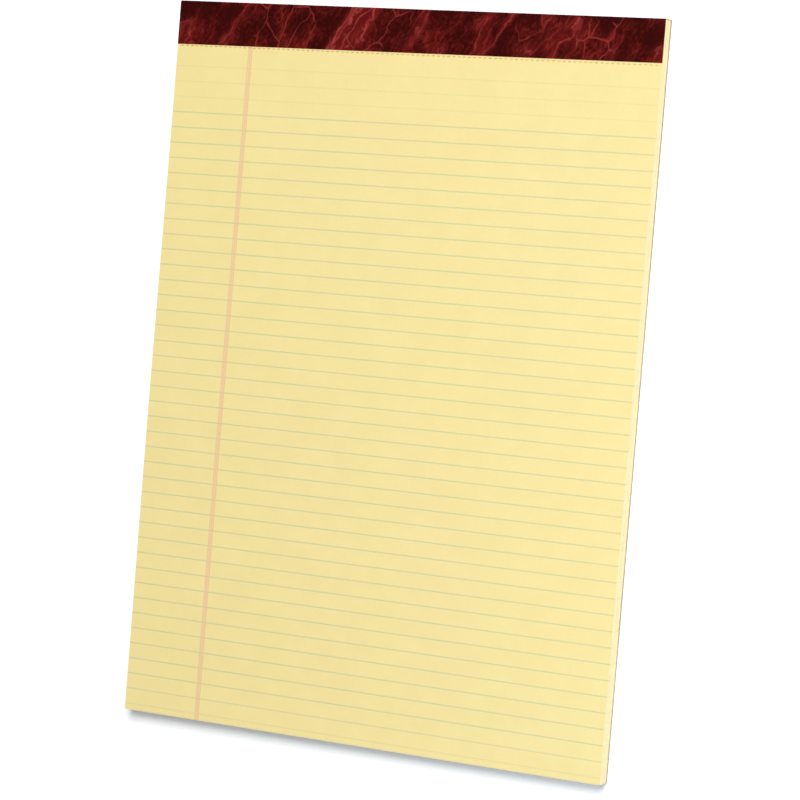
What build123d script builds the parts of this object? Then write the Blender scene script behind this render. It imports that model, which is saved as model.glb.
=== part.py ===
"""Top-bound writing pad, lying on its back with the head towards +Y and the front sheet facing up.

The pad is a stack of perforated sheets on a chipboard back, stitched with flat wire near the head
and closed there by a paper strip that is folded over the head, from the front sheet to the board.
The stitches press the sheets together at the head, and below the tear line the stack swells.
The origin is at the middle of the pad's footprint, at the level of its lowest face.
"""

import os
from math import atan2, degrees, floor

from build123d import *

os.makedirs("parts", exist_ok=True)

# Driving sizes, in millimetres

# Pad outline, 8 1/2 by 11 3/4 inches
pad_width = 215.9
pad_length = 298.45
head_edge_radius = 0.5

# Sheets, each counted with the air that lies on it: pressed at the head, and loose towards the foot
sheet_count = 50
pressed_sheet = 0.108
loose_sheet = 0.134
swell_length = 180.0

# Row of slits along which a sheet tears off: its gap to the binding strip at the middle, its rise towards
# the right, the flat border that stays below it, and the least border without slits at both sides
tear_line_gap = 0.9
tear_line_rise = 0.55
tear_line_border = 0.25
tear_line_side_border = 1.2
slit_pitch = 2.27
slit_length = 1.2
slit_width = 0.6

# Chipboard back
board_thickness = 1.1

# Binding strip, laid a little askew: its front edge rises towards the right
strip_thickness = 0.15
strip_front_width = 17.95
strip_front_rise = 0.9
strip_back_width = 14.3
strip_back_press = 0.05

# Stitches of flat wire
stitch_count = 3
stitch_spacing = 76.0
stitch_drop = 6.5
crown_length = 12.7
clinch_length = 4.5
wire_width = 0.7
wire_thickness = 0.4
wire_bend_radius = 0.35
wire_clearance = 0.05

# How far the cut along the strip's front edge runs above the strip
cut_overrun = 1.0

# Heights of the layers, up from the back of the strip
board_under_strip_z = strip_thickness
board_back_z = board_under_strip_z - strip_back_press
board_top_z = board_back_z + board_thickness
stub_top_z = board_top_z + sheet_count * pressed_sheet
loose_top_z = board_top_z + sheet_count * loose_sheet

# Places along the pad: the strip makes the head end longer by its own thickness
head_y = (pad_length - strip_thickness) / 2
foot_y = head_y - pad_length
strip_front_y = head_y - strip_front_width
strip_back_y = head_y - strip_back_width
tear_line_y = strip_front_y + strip_front_rise / 2 - tear_line_gap
tear_line_slant = degrees(atan2(tear_line_rise, pad_width))
swell_start_y = tear_line_y - (tear_line_rise + slit_width) / 2 - tear_line_border
swell_end_y = swell_start_y - swell_length
stitch_y = head_y - stitch_drop


def bent_wire(room):
    """One stitch: crown on the front, legs through the stack, ends clinched inwards on the back.

    The room is added all round the wire, so the same shape gives the slot that the wire lies in.
    """
    leg_x = (crown_length - wire_thickness) / 2
    end_x = leg_x - clinch_length - room
    crown_z = stub_top_z - wire_thickness / 2
    clinch_z = board_under_strip_z + wire_thickness / 2
    with BuildPart() as wire:
        with BuildSketch(Plane.XZ.offset(-stitch_y)):
            with BuildLine():
                FilletPolyline(
                    (-end_x, clinch_z),
                    (-leg_x, clinch_z),
                    (-leg_x, crown_z),
                    (leg_x, crown_z),
                    (leg_x, clinch_z),
                    (end_x, clinch_z),
                    radius=wire_bend_radius,
                )
            trace(line_width=wire_thickness + 2 * room)
        extrude(amount=wire_width / 2 + room, both=True)
    return wire.part


stitch_wire = bent_wire(0)
stitch_slot = bent_wire(wire_clearance)

# Ruled sheets: one block, flat at the pressed stub, swelling below the tear line, with slits and slots
with BuildPart() as ruled_sheets:
    with BuildSketch(Plane.YZ):
        with BuildLine():
            stub_line = Line((head_y, stub_top_z), (swell_start_y, stub_top_z))
            swell_line = Bezier(
                stub_line @ 1,
                (swell_start_y - swell_length / 3, stub_top_z),
                (swell_end_y + swell_length / 3, loose_top_z),
                (swell_end_y, loose_top_z),
            )
            Polyline(
                swell_line @ 1,
                (foot_y, loose_top_z),
                (foot_y, board_top_z),
                (head_y, board_top_z),
                stub_line @ 0,
            )
        make_face()
    extrude(amount=pad_width / 2, both=True)
    head_edges = ruled_sheets.edges().filter_by(Axis.X).group_by(Axis.Y)[-1]
    fillet(head_edges.sort_by(Axis.Z)[-1], radius=head_edge_radius)
    slit_span = pad_width - 2 * tear_line_side_border - slit_length
    slit_count = floor(slit_span / slit_pitch) + 1
    with BuildSketch(Plane.XY.offset(stub_top_z)):
        with Locations(Location((0, tear_line_y), tear_line_slant)):
            with GridLocations(slit_pitch, slit_pitch, slit_count, 1):
                Rectangle(slit_length, slit_width)
    extrude(amount=board_top_z - stub_top_z, mode=Mode.SUBTRACT)
    with GridLocations(stitch_spacing, stitch_spacing, stitch_count, 1):
        add(stitch_slot, mode=Mode.SUBTRACT)
ruled_sheets.part.label = "ruled_sheets"

# Backing board: the same outline as the sheets, pressed in under the strip's back flap
with BuildPart() as backing_board:
    with BuildSketch(Plane.YZ):
        with BuildLine():
            Polyline(
                (head_y, board_top_z),
                (foot_y, board_top_z),
                (foot_y, board_back_z),
                (strip_back_y, board_back_z),
                (strip_back_y, board_under_strip_z),
                (head_y, board_under_strip_z),
                close=True,
            )
        make_face()
    extrude(amount=pad_width / 2, both=True)
    head_edges = backing_board.edges().filter_by(Axis.X).group_by(Axis.Y)[-1]
    fillet(head_edges.sort_by(Axis.Z)[0], radius=head_edge_radius)
    with GridLocations(stitch_spacing, stitch_spacing, stitch_count, 1):
        add(stitch_slot, mode=Mode.SUBTRACT)
backing_board.part.label = "backing_board"

# Binding strip: one band of paper folded over the head, its front edge cut along the askew line
with BuildPart() as binding_strip:
    with BuildSketch(Plane.YZ):
        with BuildLine():
            FilletPolyline(
                (strip_front_y, stub_top_z),
                (head_y, stub_top_z),
                (head_y, board_under_strip_z),
                (strip_back_y, board_under_strip_z),
                radius=head_edge_radius,
            )
            offset(amount=strip_thickness, side=Side.LEFT)
        make_face()
    extrude(amount=pad_width / 2, both=True)
    with BuildSketch(Plane.XY.offset(stub_top_z)):
        with BuildLine():
            Polyline(
                (-pad_width / 2, strip_front_y),
                (pad_width / 2, strip_front_y + strip_front_rise),
                (pad_width / 2, strip_front_y),
                close=True,
            )
        make_face()
    extrude(amount=strip_thickness + cut_overrun, mode=Mode.SUBTRACT)
binding_strip.part.label = "binding_strip"

# Staples: identical wire stitches in a row across the head
with BuildPart() as staples:
    with GridLocations(stitch_spacing, stitch_spacing, stitch_count, 1):
        add(stitch_wire)
staples.part.label = "staples"

export_step(ruled_sheets.part, "parts/ruled_sheets.step")
export_step(backing_board.part, "parts/backing_board.step")
export_step(binding_strip.part, "parts/binding_strip.step")
export_step(staples.part, "parts/staples.step")
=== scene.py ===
"""Writing pad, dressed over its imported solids, in metres.

The stack shows as a printed front sheet on a block of loose sheet edges, and the binding strip as a
folded band of marbled paper. The chipboard back and the wire stitches keep their own solids.
"""

import math
import random
from bisect import bisect_right

import bpy
from mathutils import Matrix, Vector


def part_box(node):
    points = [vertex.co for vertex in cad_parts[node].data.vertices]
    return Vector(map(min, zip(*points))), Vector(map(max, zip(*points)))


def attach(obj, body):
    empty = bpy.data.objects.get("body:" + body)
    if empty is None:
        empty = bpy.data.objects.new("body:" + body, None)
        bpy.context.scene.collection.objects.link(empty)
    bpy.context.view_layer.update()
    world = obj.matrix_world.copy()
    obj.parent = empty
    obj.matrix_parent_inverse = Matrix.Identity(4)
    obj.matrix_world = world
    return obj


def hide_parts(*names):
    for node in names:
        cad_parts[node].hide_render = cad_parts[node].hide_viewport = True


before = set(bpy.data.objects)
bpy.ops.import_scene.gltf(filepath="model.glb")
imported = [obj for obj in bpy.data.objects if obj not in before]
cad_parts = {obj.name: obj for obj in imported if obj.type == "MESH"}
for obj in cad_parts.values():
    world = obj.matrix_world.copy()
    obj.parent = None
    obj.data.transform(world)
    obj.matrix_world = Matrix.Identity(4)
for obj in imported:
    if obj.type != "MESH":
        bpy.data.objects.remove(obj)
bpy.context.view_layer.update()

# Sizes of the pad that its solids' boxes don't tell, as in the part
SHEET_COUNT = 50
SWELL_LENGTH = 0.18
TEAR_LINE_GAP = 0.0009
TEAR_LINE_RISE = 0.00055
TEAR_LINE_BORDER = 0.00025
TEAR_LINE_SIDE_BORDER = 0.0012
SLIT_PITCH = 0.00227
SLIT_LENGTH = 0.0012
SLIT_WIDTH = 0.0006
HEAD_EDGE_RADIUS = 0.0005
STRIP_FRONT_RISE = 0.0009
STRIP_BACK_WIDTH = 0.0143
STITCH_COUNT = 3
STITCH_SPACING = 0.076
STITCH_DROP = 0.0065
CROWN_LENGTH = 0.0127
WIRE_WIDTH = 0.0007

# Print on the sheets: rules from the head edge downwards, the margin from the left edge. Above the first rule
# the next sheet's rules show through, and the last rules are paler. The margin is three lines with tinted
# gaps between them, all equally wide
RULE_PITCH = 0.0064
RULE_WIDTH = 0.00055
FIRST_RULE_DROP = 0.0462
RULE_COUNT = 38
SHOW_THROUGH_COUNT = 3
SHOW_THROUGH_SHARE = 0.25
LAST_RULE_SHARES = (0.75, 0.4)
EDGE_PRINT_SHARE = 0.3
MARGIN_INSET = 0.0337
MARGIN_LINE_WIDTH = 0.0004
MARGIN_SHARES = (1.0, 0.4, 1.0, 0.4, 1.0)

# Steps of the meshes: the widest columns of the sheets, and the counts of steps along and across the strip
FRONT_COLUMN = 0.03
EDGE_COLUMN = 0.012
FOLD_STEPS = 6
SPINE_STEPS = 5
FLAP_STEPS = 40
BACK_FLAP_STEPS = 20
ACROSS_STEPS = 216

# Loose sheets: a sheet without its air, the range of weights that share the air out, how far the sheets'
# edges stray inwards, and how deep the gaps between them and the slits look
PAPER_THICKNESS = 0.0001
AIR_WEIGHTS = (0.3, 1.7)
STRAY = 0.00009
STRAY_WAVE = 0.00003
STRAY_WAVE_LENGTH = 0.11
GAP_DEPTH = 0.00025
SLIT_SHOWN_DEPTH = 0.0003

# Tones of the cut edges, from 0 for painted shade to 1 for pale
SHADED_TONE = 0.15
COVERED_TONE = 0.5
FRONT_EDGE_TONE = 0.7
EDGE_TONES = (0.35, 1.0)

# Strip: the marks of the stitches in it, and the bend in degrees from which its edges look sharp
EMBOSS_HEIGHT = 0.00004
EMBOSS_SOFTNESS = 0.0007
SHARP_BEND = 40.0

# Flat layouts for baking, in texels: the whole layout, its main side, and each stretch that is no longer
# than the narrow length and drawn wider than to scale. The strip is laid out in parts with room between
LAYOUT_TEXELS = 1024
MAIN_SIDE_TEXELS = 984
NARROW_TEXELS = 4
NARROW_LENGTH = 0.001
STRIP_PARTS = 3
PART_FILL_SHARE = 0.98

board_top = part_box("backing_board")[1].z
sheets_low, sheets_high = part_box("ruled_sheets")
strip_low, strip_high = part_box("binding_strip")

left_x, right_x = sheets_low.x, sheets_high.x
foot_y, head_y = sheets_low.y, sheets_high.y
pad_width = right_x - left_x
strip_thickness = strip_high.y - head_y
stub_top = strip_high.z - strip_thickness
loose_top = sheets_high.z
strip_back_y = head_y - STRIP_BACK_WIDTH
tear_middle_y = strip_low.y + STRIP_FRONT_RISE / 2 - TEAR_LINE_GAP
swell_start_y = tear_middle_y - (TEAR_LINE_RISE + SLIT_WIDTH) / 2 - TEAR_LINE_BORDER

chance = random.Random(7)


def srgb(red, green, blue):
    """A screen colour, 0 to 255, as the linear colour that a shader takes."""
    def linear(level):
        share = level / 255
        return share / 12.92 if share <= 0.04045 else ((share + 0.055) / 1.055) ** 2.4
    return (linear(red), linear(green), linear(blue), 1.0)


# Shader nodes


def fill(tree, sockets, values):
    """Sets each socket to its value, or joins it to another node's socket."""
    for name, value in values.items():
        if isinstance(value, bpy.types.NodeSocket):
            tree.links.new(value, sockets[name])
        else:
            sockets[name].default_value = value


def node(tree, kind, inputs, **settings):
    """A node with its settings and its inputs."""
    made = tree.nodes.new(kind)
    for name, value in settings.items():
        setattr(made, name, value)
    fill(tree, made.inputs, inputs)
    return made


def mixed(tree, share, first, second):
    """The colour that lies between two colours."""
    mix = node(tree, "ShaderNodeMix", {}, data_type="RGBA")

    # Several sockets of this node have the same name, so the ones for colours are taken by number
    sockets = {"share": mix.inputs[0], "first": mix.inputs[6], "second": mix.inputs[7]}
    fill(tree, sockets, {"share": share, "first": first, "second": second})
    return mix.outputs[2]


def maths(tree, operation, first, second):
    """The result of a sum on two values."""
    return node(tree, "ShaderNodeMath", {0: first, 1: second}, operation=operation).outputs[0]


def vectors(tree, operation, inputs):
    """The result of a sum on places."""
    return node(tree, "ShaderNodeVectorMath", inputs, operation=operation).outputs[0]


def ramped(tree, value, low, high):
    """A value brought from the range low to high to the range 0 to 1, with soft ends."""
    inputs = {"Value": value, "From Min": low, "From Max": high}
    return node(tree, "ShaderNodeMapRange", inputs, interpolation_type="SMOOTHSTEP").outputs[0]


def noise(tree, place, per_metre, detail=3.0, distortion=0.0):
    """Smooth noise about 0.5, with so many waves to the metre."""
    inputs = {"Vector": place, "Scale": per_metre, "Detail": detail, "Distortion": distortion}
    return node(tree, "ShaderNodeTexNoise", inputs).outputs[0]


def cracks(tree, place, per_metre):
    """How far each place lies from a net of cracks, as a share of the net's own cells."""
    inputs = {"Vector": place, "Scale": per_metre}
    settings = {"voronoi_dimensions": "2D", "feature": "DISTANCE_TO_EDGE"}
    return node(tree, "ShaderNodeTexVoronoi", inputs, **settings).outputs["Distance"]


def streaks(tree, place, per_metre, detail):
    """How far a smooth noise lies from its mean, which it crosses along winding lines."""
    swing = maths(tree, "SUBTRACT", noise(tree, place, per_metre, detail), 0.5)
    return maths(tree, "MAXIMUM", swing, maths(tree, "MULTIPLY", swing, -1.0))


def stretched(tree, place, factors, slant=0.0):
    """Places for a texture that is drawn out by these factors, along axes slanted by so many degrees."""
    inputs = {"Vector": place, "Rotation": (0.0, 0.0, math.radians(slant)), "Scale": factors}
    return node(tree, "ShaderNodeMapping", inputs, vector_type="TEXTURE").outputs[0]


def attribute(tree, name, output):
    """A value that the mesh carries."""
    return node(tree, "ShaderNodeAttribute", {}, attribute_name=name).outputs[output]


def new_group(name, inputs, outputs):
    """An empty shader group with named sockets, and its input and output nodes."""
    group = bpy.data.node_groups.new(name, "ShaderNodeTree")
    for label, kind in inputs:
        group.interface.new_socket(label, in_out="INPUT", socket_type=kind)
    for label, kind in outputs:
        group.interface.new_socket(label, in_out="OUTPUT", socket_type=kind)
    return group, group.nodes.new("NodeGroupInput").outputs, group.nodes.new("NodeGroupOutput").inputs


def placed(tree, group, inputs):
    """The outputs of a group that is placed in a material with its own values."""
    return node(tree, "ShaderNodeGroup", inputs, node_tree=group).outputs


def new_material(name):
    """A material, its node tree, its Principled shader's sockets and the places on the object."""
    material = bpy.data.materials.new(name)
    material.use_nodes = True
    tree = material.node_tree
    place = node(tree, "ShaderNodeTexCoord", {}).outputs["Object"]
    return material, tree, tree.nodes["Principled BSDF"].inputs, place


def bumped(tree, height, strength, distance):
    """A normal that follows a height."""
    inputs = {"Height": height, "Strength": strength, "Distance": distance}
    return node(tree, "ShaderNodeBump", inputs).outputs[0]


# Effects that several materials share


def make_pulp_fibres():
    """Pulp: a cloudy tone, and a fine height felted from fibres along and across."""
    group, given, result = new_group(
        "pulp_fibres",
        [("Place", "NodeSocketVector"), ("Clouds", "NodeSocketFloat"), ("Fibres", "NodeSocketFloat")],
        [("Tone", "NodeSocketFloat"), ("Height", "NodeSocketFloat")],
    )
    place = given["Place"]
    cloud = noise(group, place, given["Clouds"], 4.0)
    along = noise(group, stretched(group, place, (1.0, 4.5, 1.0)), given["Fibres"], 2.0, 1.2)
    across = noise(group, stretched(group, place, (4.5, 1.0, 1.0)), given["Fibres"], 2.0, 1.2)
    felt = maths(group, "MULTIPLY", maths(group, "ADD", along, across), 0.5)
    tone = maths(group, "MULTIPLY", maths(group, "ADD", cloud, felt), 0.5)
    fill(group, result, {"Tone": ramped(group, tone, 0.32, 0.68), "Height": felt})
    return group


def make_printed_ink():
    """Ink on paper, a little thinner where the fibres stand high."""
    group, given, result = new_group(
        "printed_ink",
        [
            ("Paper", "NodeSocketColor"), ("Ink", "NodeSocketColor"),
            ("Cover", "NodeSocketFloat"), ("Height", "NodeSocketFloat"),
        ],
        [("Color", "NodeSocketColor")],
    )
    levels = {"Value": given["Height"], "From Min": 0.35, "From Max": 0.65, "To Min": 1.0, "To Max": 0.82}
    thinning = node(group, "ShaderNodeMapRange", levels).outputs[0]
    inked = maths(group, "MULTIPLY", given["Cover"], thinning)
    fill(group, result, {"Color": mixed(group, inked, given["Paper"], given["Ink"])})
    return group


pulp_fibres = make_pulp_fibres()
printed_ink = make_printed_ink()

# Materials

# Inks, and how far the fibres stand up on each surface
RULE_INK = srgb(214, 208, 155)
MARGIN_INK = srgb(236, 194, 147)
PAPER_FIBRE_RISE = 0.00004
BOARD_FIBRE_RISE = 0.00008
STRIP_FIBRE_RISE = 0.00003

# Marbling: the place on the marbled sheet where the strip is cut, how far the colours drift, and the slants
# of veins and branches in degrees
MARBLE_CUT = (1.71, 0.83, 0.0)
MARBLE_DRIFT = 0.006
VEIN_SLANT = -33.0
BRANCH_SLANT = -24.0


def make_yellow_paper():
    """Uncoated canary paper, with the rules and the margin printed where the mesh marks them."""
    material, tree, shader, place = new_material("yellow_paper")
    fibres = placed(tree, pulp_fibres, {"Place": place, "Clouds": 90.0, "Fibres": 1400.0})
    paper = mixed(tree, fibres["Tone"], srgb(242, 222, 153), srgb(246, 226, 158))
    covers = node(tree, "ShaderNodeSeparateColor", {"Color": attribute(tree, "print", "Color")}).outputs
    ruling = {"Paper": paper, "Ink": RULE_INK, "Cover": covers["Red"], "Height": fibres["Height"]}
    ruled = placed(tree, printed_ink, ruling)["Color"]
    lining = {"Paper": ruled, "Ink": MARGIN_INK, "Cover": covers["Green"], "Height": fibres["Height"]}
    fill(tree, shader, {
        "Base Color": placed(tree, printed_ink, lining)["Color"],
        "Roughness": 0.85,
        "Specular IOR Level": 0.15,
        "Normal": bumped(tree, fibres["Height"], 0.35, PAPER_FIBRE_RISE),
    })
    return material


def make_sheet_edges():
    """Cut edges of the sheets, each its own tone, with painted shade in the gaps and the pits, and the ends
    of the rules.
    """
    material, tree, shader, place = new_material("sheet_edges")
    fibres = placed(tree, pulp_fibres, {"Place": place, "Clouds": 160.0, "Fibres": 2200.0})
    tone = attribute(tree, "sheet_tone", "Fac")
    pale = mixed(tree, ramped(tree, tone, 0.3, 1.0), srgb(230, 212, 163), srgb(238, 223, 182))
    # Painted shade: a deeper ochre where the tone is low, for the gaps between the sheets and the pits under
    # the slits
    shaded = mixed(tree, ramped(tree, tone, 0.0, 0.3), srgb(230, 196, 98), pale)
    felted = mixed(tree, fibres["Tone"], mixed(tree, 0.3, shaded, srgb(238, 218, 150)), shaded)
    covers = node(tree, "ShaderNodeSeparateColor", {"Color": attribute(tree, "print", "Color")}).outputs
    ruling = {"Paper": felted, "Ink": RULE_INK, "Cover": covers["Red"], "Height": fibres["Height"]}
    fill(tree, shader, {
        "Base Color": placed(tree, printed_ink, ruling)["Color"],
        "Roughness": 0.9,
        "Specular IOR Level": 0.15,
        "Normal": bumped(tree, fibres["Height"], 0.4, PAPER_FIBRE_RISE),
    })
    return material


def make_chipboard():
    """Grey-brown recycled board: felted pulp with darker and paler flecks."""
    material, tree, shader, place = new_material("chipboard")
    fibres = placed(tree, pulp_fibres, {"Place": place, "Clouds": 60.0, "Fibres": 900.0})
    pulp = mixed(tree, fibres["Tone"], srgb(150, 134, 108), srgb(174, 159, 132))
    dark = ramped(tree, noise(tree, stretched(tree, place, (1.0, 2.5, 1.0)), 900.0, 1.0), 0.68, 0.74)
    pale = ramped(tree, noise(tree, stretched(tree, place, (2.5, 1.0, 1.0)), 760.0, 1.0), 0.7, 0.77)
    flecked = mixed(tree, maths(tree, "MULTIPLY", dark, 0.55), pulp, srgb(92, 79, 63))
    fill(tree, shader, {
        "Base Color": mixed(tree, maths(tree, "MULTIPLY", pale, 0.5), flecked, srgb(208, 199, 177)),
        "Roughness": 0.92,
        "Specular IOR Level": 0.15,
        "Normal": bumped(tree, fibres["Height"], 0.6, BOARD_FIBRE_RISE),
    })
    return material


def make_marbled_paper():
    """Dark red binding paper, marbled with slanted veins while it was flat."""
    material, tree, shader, _ = new_material("marbled_paper")
    place = vectors(tree, "ADD", {0: attribute(tree, "unrolled", "Vector"), 1: MARBLE_CUT})
    waves = node(tree, "ShaderNodeTexNoise", {"Vector": place, "Scale": 110.0, "Detail": 6.0})
    swing = vectors(tree, "SUBTRACT", {0: waves.outputs["Color"], 1: (0.5, 0.5, 0.5)})
    drift = vectors(tree, "SCALE", {0: swing, "Scale": MARBLE_DRIFT})
    wandering = vectors(tree, "ADD", {0: place, 1: drift})
    slanted = stretched(tree, wandering, (1.0, 6.0, 1.0), VEIN_SLANT)
    branching = stretched(tree, wandering, (1.0, 1.7, 1.0), BRANCH_SLANT)

    # Mottled ground, redder in clouds
    cloud = noise(tree, branching, 110.0, 8.0)
    mottle = noise(tree, stretched(tree, place, (1.0, 1.4, 1.0), VEIN_SLANT), 800.0, 4.0)
    mottling = maths(tree, "MULTIPLY", maths(tree, "SUBTRACT", mottle, 0.5), 0.8)
    shade = maths(tree, "ADD", cloud, mottling)
    ground = mixed(tree, ramped(tree, shade, 0.36, 0.8), srgb(52, 8, 6), srgb(100, 21, 17))

    # Hairs that run on a slant, thick in the red clouds
    hair = ramped(tree, streaks(tree, slanted, 330.0, 2.0), 0.045, 0.0)
    hair_share = maths(tree, "MULTIPLY", ramped(tree, cloud, 0.42, 0.62), 0.6)
    haired = mixed(tree, maths(tree, "MULTIPLY", hair, hair_share), ground, srgb(132, 40, 37))

    # Bundles of long veins, each in a redder halo and split by the hairs where it is wide
    bundles = ramped(tree, noise(tree, slanted, 55.0, 2.0), 0.48, 0.63)
    from_vein = streaks(tree, slanted, 100.0, 2.0)
    halo = maths(tree, "MULTIPLY", ramped(tree, from_vein, 0.12, 0.0), bundles)
    glowing = mixed(tree, maths(tree, "MULTIPLY", halo, 0.55), haired, srgb(124, 29, 26))
    split = maths(tree, "ADD", maths(tree, "MULTIPLY", hair, 0.55), 0.45)
    vein = maths(tree, "MULTIPLY", ramped(tree, from_vein, 0.02, 0.006), bundles)
    veined = mixed(tree, maths(tree, "MULTIPLY", vein, split), glowing, srgb(160, 61, 58))

    # Thin branches in a few patches
    patches = ramped(tree, noise(tree, branching, 55.0, 2.0), 0.5, 0.6)
    branch = maths(tree, "MULTIPLY", ramped(tree, cracks(tree, branching, 120.0), 0.045, 0.0), patches)
    netted = mixed(tree, maths(tree, "MULTIPLY", branch, 0.75), veined, srgb(144, 49, 46))

    fibres = placed(tree, pulp_fibres, {"Place": place, "Clouds": 120.0, "Fibres": 1500.0})
    fill(tree, shader, {
        "Base Color": netted,
        "Roughness": maths(tree, "ADD", maths(tree, "MULTIPLY", fibres["Tone"], 0.15), 0.5),
        "Specular IOR Level": 0.02,
        "Normal": bumped(tree, fibres["Height"], 0.25, STRIP_FIBRE_RISE),
    })
    return material


def make_stitching_wire():
    """Bright flat wire with drawn lines along it."""
    material, tree, shader, place = new_material("stitching_wire")
    drawn = noise(tree, stretched(tree, place, (20.0, 1.0, 1.0)), 9000.0, 2.0)
    fill(tree, shader, {
        "Base Color": mixed(tree, drawn, srgb(176, 176, 178), srgb(214, 214, 216)),
        "Metallic": 1.0,
        "Roughness": maths(tree, "ADD", maths(tree, "MULTIPLY", drawn, 0.2), 0.25),
    })
    return material


yellow_paper = make_yellow_paper()
sheet_edges = make_sheet_edges()
chipboard = make_chipboard()
marbled_paper = make_marbled_paper()
stitching_wire = make_stitching_wire()


# Shape of the stack


def swelling(y):
    """How far the stack has swollen at a place along the pad: 0 at the tear line, 1 towards the foot."""
    share = min(max((swell_start_y - y) / SWELL_LENGTH, 0.0), 1.0)
    return share * share * (3 - 2 * share)


air_weights = [chance.uniform(*AIR_WEIGHTS) for _ in range(SHEET_COUNT)]


def sheet_top(number, y):
    """Height of a sheet's upper face: the sheets are equally thick, with uneven air under each."""
    air = stub_top + (loose_top - stub_top) * swelling(y) - board_top - SHEET_COUNT * PAPER_THICKNESS
    air_share = sum(air_weights[: number + 1]) / sum(air_weights)
    return board_top + (number + 1) * PAPER_THICKNESS + air * air_share


def head_inset(z):
    """How far the rounded head edge draws a sheet back at this height."""
    rise = min(max(z - (stub_top - HEAD_EDGE_RADIUS), 0.0), HEAD_EDGE_RADIUS)
    return HEAD_EDGE_RADIUS - math.sqrt(HEAD_EDGE_RADIUS**2 - rise**2)


def tear_line_y(x):
    """Place of the row of slits, which rises towards the right."""
    return tear_middle_y + TEAR_LINE_RISE * x / pad_width


def slit_ends():
    """Places across the tear line: the left side, both ends of each slit, the right side."""
    span = pad_width - 2 * TEAR_LINE_SIDE_BORDER - SLIT_LENGTH
    count = math.floor(span / SLIT_PITCH) + 1
    places = [left_x]
    for k in range(count):
        middle = (k - (count - 1) / 2) * SLIT_PITCH
        places += [middle - SLIT_LENGTH / 2, middle + SLIT_LENGTH / 2]
    return places + [right_x]


def sheet_plan(columns, rows, cuts):
    """A perforated sheet seen from above: points, lines of corners, and faces as (row, column, corners).

    The rows below the tear line are cut at the columns. The row of slits is cut at the slits' ends and
    open in the slits. It and the rows on both sides of it are also cut at the columns listed as cuts.
    """
    slits = slit_ends()
    ends = sorted(slits + cuts)
    outlines = [[(x, y) for x in columns] for y in rows]
    outlines.append([(x, tear_line_y(x) - SLIT_WIDTH / 2) for x in ends])
    outlines.append([(x, tear_line_y(x) + SLIT_WIDTH / 2) for x in ends])
    outlines.append([(x, head_y) for x in columns])
    points, lines, faces = [], [], []
    for outline in outlines:
        lines.append(list(range(len(points), len(points) + len(outline))))
        points += outline

    def between(line, start, end):
        """Corners of a line from one place across the sheet to another."""
        return [corner for corner in line if start <= points[corner][0] <= end]

    def is_tie(cell):
        """Whether a cell in the row of slits is paper: each slit that starts to its left ends there too."""
        middle = (points[cell[0]][0] + points[cell[1]][0]) / 2
        return bisect_right(slits, middle) % 2 == 1

    for row, (low, high) in enumerate(zip(lines, lines[1:])):
        cells = list(zip(low, low[1:], high[1:], high))
        if row == len(rows):
            cells = [cell for cell in cells if is_tie(cell)]
        elif row >= len(rows) - 1:
            bounds = zip([left_x] + cuts, cuts + [right_x])
            cells = [tuple(between(low, *pair) + between(high, *pair)[::-1]) for pair in bounds]
        for cell in cells:
            column = bisect_right(columns, points[cell[0]][0]) - 1
            faces.append((row, column, cell))
    return points, lines, faces


# Meshes and their flat layouts for baking


def spread(places):
    """A scale from 0 to 1 along these places, cut at whole texels, with equally wide narrow stretches."""
    lengths = [end - start for start, end in zip(places, places[1:])]
    wide_lengths = [length for length in lengths if length > NARROW_LENGTH]
    wide_texels = MAIN_SIDE_TEXELS - NARROW_TEXELS * (len(lengths) - len(wide_lengths))
    per_metre = wide_texels / sum(wide_lengths)
    texels = [length * per_metre if length > NARROW_LENGTH else NARROW_TEXELS for length in lengths]
    marks = [round(sum(texels[:k])) / MAIN_SIDE_TEXELS for k in range(len(places))]

    def scale(place):
        k = min(max(bisect_right(places, place) - 1, 0), len(lengths) - 1)
        return marks[k] + (marks[k + 1] - marks[k]) * (place - places[k]) / lengths[k]

    return scale


def laid_out(across, along, band):
    """A place in the flat layout: band 0 is the main side, the others are narrow bands beside it."""
    main_share = MAIN_SIDE_TEXELS / LAYOUT_TEXELS
    if band == 0:
        return (across * main_share, along * main_share)
    band_share = (1 - main_share) / 2
    return (across * main_share, 1 - band_share * (band - 1 + along * main_share))


def open_edges(faces):
    """Edges that only one face uses, in that face's own direction."""
    found = {}
    for face in faces:
        for start, end in zip(face, face[1:] + face[:1]):
            if (end, start) in found:
                del found[(end, start)]
            else:
                found[(start, end)] = None
    return list(found)


def thick_sheet(upper, lower, faces, flats):
    """A closed sheet from its two sides: points, faces (upper, lower, then cut edges) and layout."""
    lift = len(upper)
    under = [tuple(corner + lift for corner in reversed(face)) for face in faces]
    cuts = [(end, start, start + lift, end + lift) for start, end in open_edges(faces)]
    layout = [[laid_out(*place, 0) for place in flat] for flat in flats]
    layout += [[laid_out(*place, 1) for place in reversed(flat)] for flat in flats]
    for number in range(len(cuts)):
        start, end = number / len(cuts), (number + 1) / len(cuts)
        layout.append([laid_out(*place, 2) for place in ((start, 0), (end, 0), (end, 1), (start, 1))])
    return upper + lower, list(faces) + under + cuts, layout


def new_piece(name, shape, node_name, materials):
    """A mesh that stands for a solid of the pad and takes that solid's place."""
    points, faces, layout = shape
    mesh = bpy.data.meshes.new(name)
    mesh.from_pydata(points, [], faces)
    flat = mesh.uv_layers.new(name="OFBake")
    flat.data.foreach_set("uv", [number for corners in layout for place in corners for number in place])
    for material in materials:
        mesh.materials.append(material)
    piece = bpy.data.objects.new(name, mesh)
    bpy.context.scene.collection.objects.link(piece)
    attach(piece, "root")
    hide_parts(node_name)
    return piece


def mark(piece, name, kind, values, domain="FACE"):
    """Stores a value for each face or point, for the materials to read."""
    layer = piece.data.attributes.new(name, kind, domain)
    field = {"FLOAT_COLOR": "color", "FLOAT_VECTOR": "vector"}.get(kind, "value")
    layer.data.foreach_set(field, values)


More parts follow.
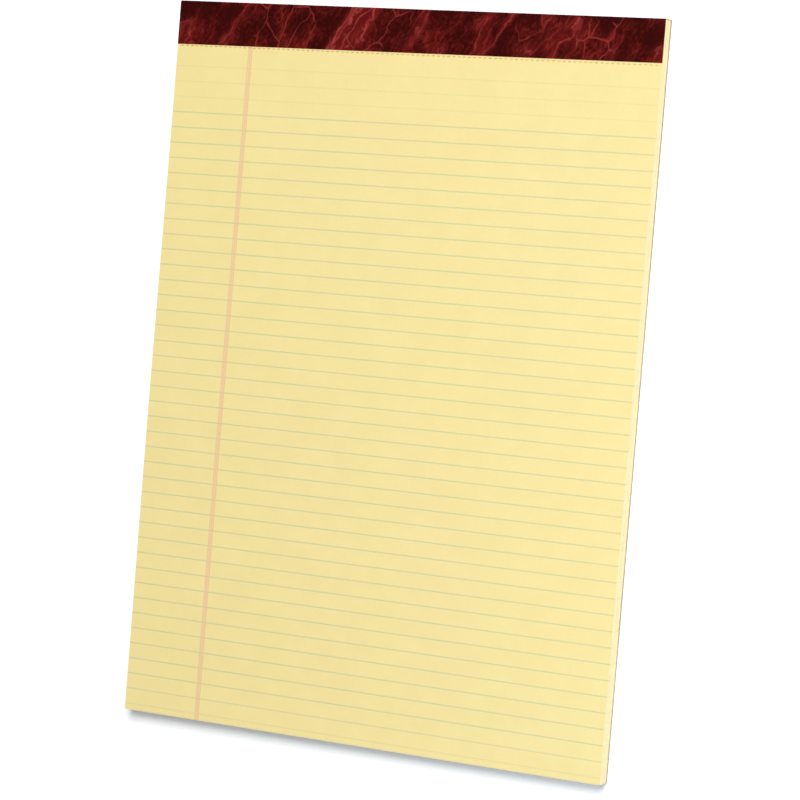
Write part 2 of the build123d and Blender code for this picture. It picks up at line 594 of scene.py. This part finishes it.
def print_mark(rule_share, margin_share):
    """How much rule ink and margin ink a face carries, as a colour."""
    return [rule_share, margin_share, 0.0, 1.0]


# Front sheet


def rule_rows():
    """Rows of a sheet from the foot up to the tear line, and the share of rule ink on each."""
    shares = [SHOW_THROUGH_SHARE] * SHOW_THROUGH_COUNT + [1.0] * RULE_COUNT + list(LAST_RULE_SHARES)
    rows, inks = [foot_y], []
    for k in reversed(range(len(shares))):
        middle = head_y - FIRST_RULE_DROP - (k - SHOW_THROUGH_COUNT) * RULE_PITCH
        rows += [middle - RULE_WIDTH / 2, middle + RULE_WIDTH / 2]
        inks += [0.0, shares[k]]
    return rows + [swell_start_y], inks + [0.0]


def even_columns(start, end, widest):
    """Places in even steps from start to end, no wider than given."""
    count = math.ceil((end - start) / widest)
    return [start + (end - start) * k / count for k in range(count)] + [end]


def make_front_sheet():
    """The top sheet, with its slits cut through and its print marked on the faces."""
    margin_x = left_x + MARGIN_INSET
    lines = [margin_x + MARGIN_LINE_WIDTH * k for k in range(len(MARGIN_SHARES) + 1)]
    blank = even_columns(lines[-1], right_x, FRONT_COLUMN)
    columns = [left_x] + lines[:-1] + blank
    margin_inks = [0.0] + list(MARGIN_SHARES) + [0.0] * len(blank)
    rows, rule_inks = rule_rows()
    plan, _, tagged = sheet_plan(columns, rows, lines)
    upper, lower = [], []
    for x, y in plan:
        z = sheet_top(SHEET_COUNT - 1, y)
        end_y = y - head_inset(z) if y == head_y else y
        upper.append((x, end_y, z))
        lower.append((x, end_y, z - PAPER_THICKNESS))
    across, along = spread(columns), spread(rows + [head_y])
    faces = [corners for _, _, corners in tagged]
    flats = [[(across(plan[c][0]), along(plan[c][1])) for c in face] for face in faces]
    shape = thick_sheet(upper, lower, faces, flats)
    piece = new_piece("front_sheet", shape, "ruled_sheets", [yellow_paper, sheet_edges])
    marks = []
    for row, column, _ in tagged:
        rule_ink = rule_inks[row] if row < len(rule_inks) else 0.0
        marks += print_mark(rule_ink, margin_inks[column])
    face_count = len(piece.data.polygons)
    marks += print_mark(0.0, 0.0) * (face_count - len(tagged))
    mark(piece, "print", "FLOAT_COLOR", marks)
    mark(piece, "sheet_tone", "FLOAT", [FRONT_EDGE_TONE] * face_count)
    for polygon in list(piece.data.polygons)[2 * len(tagged):]:
        polygon.material_index = 1


# Sheets under the front sheet


def rim_ring(rim, draws, number, drop):
    """Places round a sheet, so far below its upper face, each drawn in from the rim."""
    places = []
    for (x, y), draw in zip(rim, draws):
        z = sheet_top(number, y) - drop
        side = draw if x == left_x else -draw if x == right_x else 0.0
        end = draw if y == foot_y else -draw - head_inset(z) if y == head_y else 0.0
        places.append((x + side, y + end, z))
    return places


def edge_rings(rim):
    """Rings round the lower sheets from the board up: (places, tone of the band under the ring).

    Each sheet has a ring at both edges of its cut side, and rings set back in the gaps beside it.
    """
    rings = []
    gap_draws = [GAP_DEPTH] * len(rim)
    for number in range(SHEET_COUNT - 1):
        stray = chance.uniform(0.0, STRAY)
        wave = chance.uniform(0.0, STRAY_WAVE)
        phase = chance.uniform(0.0, math.tau)
        tone = chance.uniform(*EDGE_TONES)
        turns = [phase + math.tau * (x + y) / STRAY_WAVE_LENGTH for x, y in rim]
        draws = [stray + wave * (1 + math.sin(turn)) / 2 for turn in turns]
        if number > 0:
            # The band up to a ring set back in a gap is coloured with painted shade
            rings.append((rim_ring(rim, gap_draws, number, PAPER_THICKNESS), SHADED_TONE))
        rings.append((rim_ring(rim, draws, number, PAPER_THICKNESS), tone))
        rings.append((rim_ring(rim, draws, number, 0.0), tone))
        if number < SHEET_COUNT - 2:
            rings.append((rim_ring(rim, gap_draws, number, 0.0), tone))
    return rings


def rim_corners(lines):
    """Corners round a sheet: along the foot, up the right side, back along the head, down the left side."""
    right_side = [line[-1] for line in lines[1:-1]]
    left_side = [line[0] for line in lines[1:-1]]
    return lines[0] + right_side + lines[-1][::-1] + left_side[::-1]


def rim_inks(lines, rule_inks):
    """Share of rule ink on each stretch round a sheet: the rules' ends show faintly on both sides."""
    blank_end = [0.0] * (len(lines[0]) - 1)
    blank_stub = [0.0] * (len(lines) - 1 - len(rule_inks))
    side = [ink * EDGE_PRINT_SHARE for ink in rule_inks] + blank_stub
    return blank_end + side + blank_end + side[::-1]


def rim_marks(rim):
    """Places of a rim's corners on a scale from 0 to 1 that runs once round it."""
    lengths = [math.dist(start, end) for start, end in zip(rim, rim[1:] + rim[:1])]
    way = [sum(lengths[:k]) for k in range(len(lengths) + 1)]
    scale = spread(way)
    return [scale(place) for place in way]


class Block:
    """A mesh in the making: its points, and each face's corners, flat layout, tone and rule ink."""

    def __init__(self, points):
        self.points, self.faces, self.layout, self.tones, self.inks = points, [], [], [], []

    def add_points(self, places):
        """Takes up more points and tells their corners."""
        start = len(self.points)
        self.points += places
        return list(range(start, len(self.points)))

    def add_face(self, corners, flat, tone, ink=0.0):
        """Takes up one more face."""
        self.faces.append(tuple(corners))
        self.layout.append(flat)
        self.tones.append(tone)
        self.inks.append(ink)


def add_ribs(block, rings, corner_rings, marks, inks):
    """Adds the bands between the rings round the sheets, laid out one above the other."""
    band_share = MAIN_SIDE_TEXELS // len(rings) / MAIN_SIDE_TEXELS
    for level, (low, high) in enumerate(zip(corner_rings, corner_rings[1:])):
        tone = rings[level + 1][1]
        bottom, top = level * band_share, (level + 1) * band_share
        for k, ink in enumerate(inks):
            after = (k + 1) % len(inks)
            start, end = marks[k], marks[k + 1]
            places = ((start, bottom), (end, bottom), (end, top), (start, top))
            flat = [laid_out(*place, 0) for place in places]
            block.add_face((low[k], low[after], high[after], high[k]), flat, tone, ink)


def add_slit_pits(block, lines, across):
    """Adds a shallow pit under each slit of the front sheet, coloured with painted shade."""
    low, high = lines[-3], lines[-2]
    for mouth in list(zip(low, low[1:], high[1:], high))[1::2]:
        places = [block.points[corner] for corner in mouth]
        bed = block.add_points([(x, y, z - SLIT_SHOWN_DEPTH) for x, y, z in places])
        walls = list(zip(mouth, mouth[1:] + mouth[:1], bed[1:] + bed[:1], bed))
        for face in [bed] + walls:
            steps = [(block.points[corner][0], k / len(face)) for k, corner in enumerate(face)]
            block.add_face(face, [laid_out(across(x), share, 2) for x, share in steps], SHADED_TONE)


def make_lower_sheets():
    """The other sheets as one block, with a rib for each sheet's cut edge and a pit under each slit."""
    rows, rule_inks = rule_rows()
    plan, lines, tagged = sheet_plan(even_columns(left_x, right_x, EDGE_COLUMN), rows, [])
    rim = rim_corners(lines)
    rim_places = [plan[corner] for corner in rim]
    rings = edge_rings(rim_places)
    block = Block([(x, y, sheet_top(SHEET_COUNT - 2, y)) for x, y in plan])
    for corner, place in zip(rim, rings[-1][0]):
        block.points[corner] = place
    across, along = spread([left_x, right_x]), spread([foot_y, head_y])
    flat_plan = [laid_out(across(x), along(y), 1) for x, y in plan]

    for _, _, corners in tagged:
        block.add_face(corners, [flat_plan[corner] for corner in corners], COVERED_TONE)
    corner_rings = [block.add_points(places) for places, _ in rings[:-1]] + [rim]
    add_ribs(block, rings, corner_rings, rim_marks(rim_places), rim_inks(lines, rule_inks))
    underside = corner_rings[0][::-1]
    block.add_face(underside, [flat_plan[corner] for corner in rim[::-1]], COVERED_TONE)
    add_slit_pits(block, lines, across)

    shape = (block.points, block.faces, block.layout)
    piece = new_piece("lower_sheets", shape, "ruled_sheets", [sheet_edges])
    mark(piece, "sheet_tone", "FLOAT", block.tones)
    mark(piece, "print", "FLOAT_COLOR", [level for ink in block.inks for level in print_mark(ink, 0.0)])


# Binding strip


def emboss(x, y):
    """How far the stitches' crowns press the strip up at this place."""
    height = 0.0
    for k in range(STITCH_COUNT):
        middle = (k - (STITCH_COUNT - 1) / 2) * STITCH_SPACING
        past_end = max(abs(x - middle) - CROWN_LENGTH / 2, 0.0)
        past_side = max(abs(y - (head_y - STITCH_DROP)) - WIRE_WIDTH / 2, 0.0)
        share = max(1 - math.hypot(past_end, past_side) / EMBOSS_SOFTNESS, 0.0)
        height = max(height, EMBOSS_HEIGHT * share * share * (3 - 2 * share))
    return height


def strip_path(x):
    """The strip's inner side at a place across the pad, from its front edge to its back edge.

    Each step is (y, z, degrees): the direction in which the strip's outer side lies from there.
    """
    front_y = strip_low.y + STRIP_FRONT_RISE * (x - left_x) / pad_width
    bend_y = head_y - HEAD_EDGE_RADIUS
    upper_bend_z = stub_top - HEAD_EDGE_RADIUS
    back_z = strip_low.z + strip_thickness
    lower_bend_z = back_z + HEAD_EDGE_RADIUS
    path = [(front_y + (bend_y - front_y) * k / FLAP_STEPS, stub_top, 90.0) for k in range(FLAP_STEPS)]
    spine_height = lower_bend_z - upper_bend_z
    spine = [upper_bend_z + spine_height * k / SPINE_STEPS for k in range(1, SPINE_STEPS)]
    for bend_z, start in ((upper_bend_z, 90.0), (lower_bend_z, 0.0)):
        for k in range(FOLD_STEPS + 1):
            degrees = start - 90.0 * k / FOLD_STEPS
            turn = math.radians(degrees)
            y = bend_y + HEAD_EDGE_RADIUS * math.cos(turn)
            path.append((y, bend_z + HEAD_EDGE_RADIUS * math.sin(turn), degrees))
        if start > 0:
            path += [(head_y, z, 0.0) for z in spine]
    back_steps = range(1, BACK_FLAP_STEPS + 1)
    path += [(bend_y + (strip_back_y - bend_y) * k / BACK_FLAP_STEPS, back_z, -90.0) for k in back_steps]
    return path


def make_binding_strip():
    """The folded band, with the stitches showing faintly through its front flap, laid out in parts."""
    outer, inner, unrolled, faces, flats = [], [], [], [], []
    part_steps = ACROSS_STEPS // STRIP_PARTS
    for column in range(ACROSS_STEPS + 1):
        x = left_x + pad_width * column / ACROSS_STEPS
        path = strip_path(x)
        last = len(path) - 1
        way = 0.0
        for step, (y, z, degrees) in enumerate(path):
            turn = math.radians(degrees)
            rise = strip_thickness + (emboss(x, y) if degrees == 90.0 else 0.0)
            outer.append((x, y + rise * math.cos(turn), z + rise * math.sin(turn)))
            inner.append((x, y, z))
            way += math.dist((y, z), path[step - 1][:2]) if step else 0.0
            unrolled += [x, way, 0.0]
            if column < ACROSS_STEPS and step < last:
                corner = column * len(path) + step
                faces.append((corner, corner + len(path), corner + len(path) + 1, corner + 1))
                part, within = divmod(column, part_steps)
                left, right = within / part_steps, (within + 1) / part_steps
                low = (part + PART_FILL_SHARE * step / last) / STRIP_PARTS
                high = (part + PART_FILL_SHARE * (step + 1) / last) / STRIP_PARTS
                flats.append([(left, low), (right, low), (right, high), (left, high)])
    shape = thick_sheet(outer, inner, faces, flats)
    piece = new_piece("marbled_strip", shape, "binding_strip", [marbled_paper])
    mark(piece, "unrolled", "FLOAT_VECTOR", unrolled + unrolled, "POINT")
    piece.data.polygons.foreach_set("use_smooth", [True] * len(piece.data.polygons))
    piece.data.set_sharp_from_angle(angle=math.radians(SHARP_BEND))


make_front_sheet()
make_lower_sheets()
make_binding_strip()

# Solids that keep their own shape
for node_name, material in (("backing_board", chipboard), ("staples", stitching_wire)):
    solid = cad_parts[node_name]
    solid.data.materials.clear()
    solid.data.materials.append(material)


# Floor, light and camera

FLOOR_SIZE = 6.0
FLOOR_GLOW = 0.14
SKY_STRENGTH = 0.14
KEY_LAMP_PLACE = (0.9, 1.8, 3.2)
KEY_LAMP_SIZE = 1.9
KEY_LAMP_COLOR = (1.0, 1.0, 1.0)
KEY_LAMP_WATTS = 138.9
SIDE_LAMP_PLACE = (0.6, -0.1, 0.2)
SIDE_LAMP_SIZE = 0.2
SIDE_LAMP_COLOR = (0.64, 0.8, 1.0)
SIDE_LAMP_WATTS = 2.3
CAMERA_PLACE = Vector((0.5022, 0.04384, 1.04672))
CAMERA_AIM = Vector((0.0048, -0.00806, 0.0))
CAMERA_UP = Vector((-0.09259, 0.99569, -0.00542))
CAMERA_LENS_MM = 128.72
SENSOR_WIDTH_MM = 36.0


def make_floor():
    """A white table top that keeps the pad's shadow, and looks white where the light thins out."""
    half = FLOOR_SIZE / 2
    mesh = bpy.data.meshes.new("table_top")
    corners = [(-half, -half, 0), (half, -half, 0), (half, half, 0), (-half, half, 0)]
    mesh.from_pydata(corners, [], [(0, 1, 2, 3)])
    floor = bpy.data.objects.new("table_top", mesh)
    bpy.context.scene.collection.objects.link(floor)
    material, tree, shader, place = new_material("white_table")
    seen = node(tree, "ShaderNodeLightPath", {}).outputs["Is Camera Ray"]
    fill(tree, shader, {
        "Base Color": mixed(tree, noise(tree, place, 8.0), srgb(250, 250, 250), srgb(255, 255, 255)),
        "Roughness": 1.0,
        "Specular IOR Level": 0.0,
        "Emission Color": srgb(255, 255, 255),
        "Emission Strength": maths(tree, "MULTIPLY", seen, FLOOR_GLOW),
    })
    mesh.materials.append(material)


def make_sky():
    """Even white light all round, which is plain white where it is seen."""
    world = bpy.data.worlds.new("studio")
    bpy.context.scene.world = world
    world.use_nodes = True
    tree = world.node_tree
    rays = node(tree, "ShaderNodeLightPath", {}).outputs
    seen = maths(tree, "MAXIMUM", rays["Is Camera Ray"], rays["Is Glossy Ray"])
    seen = maths(tree, "MAXIMUM", seen, rays["Is Transmission Ray"])
    levels = {"Value": seen, "To Min": SKY_STRENGTH, "To Max": 1.0}
    strength = node(tree, "ShaderNodeMapRange", levels).outputs[0]
    fill(tree, tree.nodes["Background"].inputs, {"Color": srgb(255, 255, 255), "Strength": strength})


def make_lamp(name, place, size, color, watts, shadows):
    """A square soft lamp that faces the pad, with shadows or without."""
    lamp = bpy.data.lights.new(name, "AREA")
    lamp.size = size
    lamp.color = color
    lamp.energy = watts
    lamp.use_shadow = shadows
    holder = bpy.data.objects.new(name, lamp)
    bpy.context.scene.collection.objects.link(holder)
    holder.location = place
    holder.rotation_euler = Vector(place).to_track_quat("Z", "Y").to_euler()


def make_camera():
    """The photograph's view: from above on the right, turned a little clockwise."""
    camera = bpy.data.cameras.new("camera")
    camera.lens = CAMERA_LENS_MM
    camera.sensor_width = SENSOR_WIDTH_MM
    holder = bpy.data.objects.new("camera", camera)
    bpy.context.scene.collection.objects.link(holder)
    back = (CAMERA_PLACE - CAMERA_AIM).normalized()
    side = CAMERA_UP.cross(back).normalized()
    turn = Matrix((side, back.cross(side), back)).transposed().to_4x4()
    holder.matrix_world = Matrix.Translation(CAMERA_PLACE) @ turn
    bpy.context.scene.camera = holder


make_floor()
make_sky()
make_lamp("key_lamp", KEY_LAMP_PLACE, KEY_LAMP_SIZE, KEY_LAMP_COLOR, KEY_LAMP_WATTS, True)
make_lamp("side_lamp", SIDE_LAMP_PLACE, SIDE_LAMP_SIZE, SIDE_LAMP_COLOR, SIDE_LAMP_WATTS, False)
make_camera()
bpy.context.scene.view_settings.view_transform = "Standard"
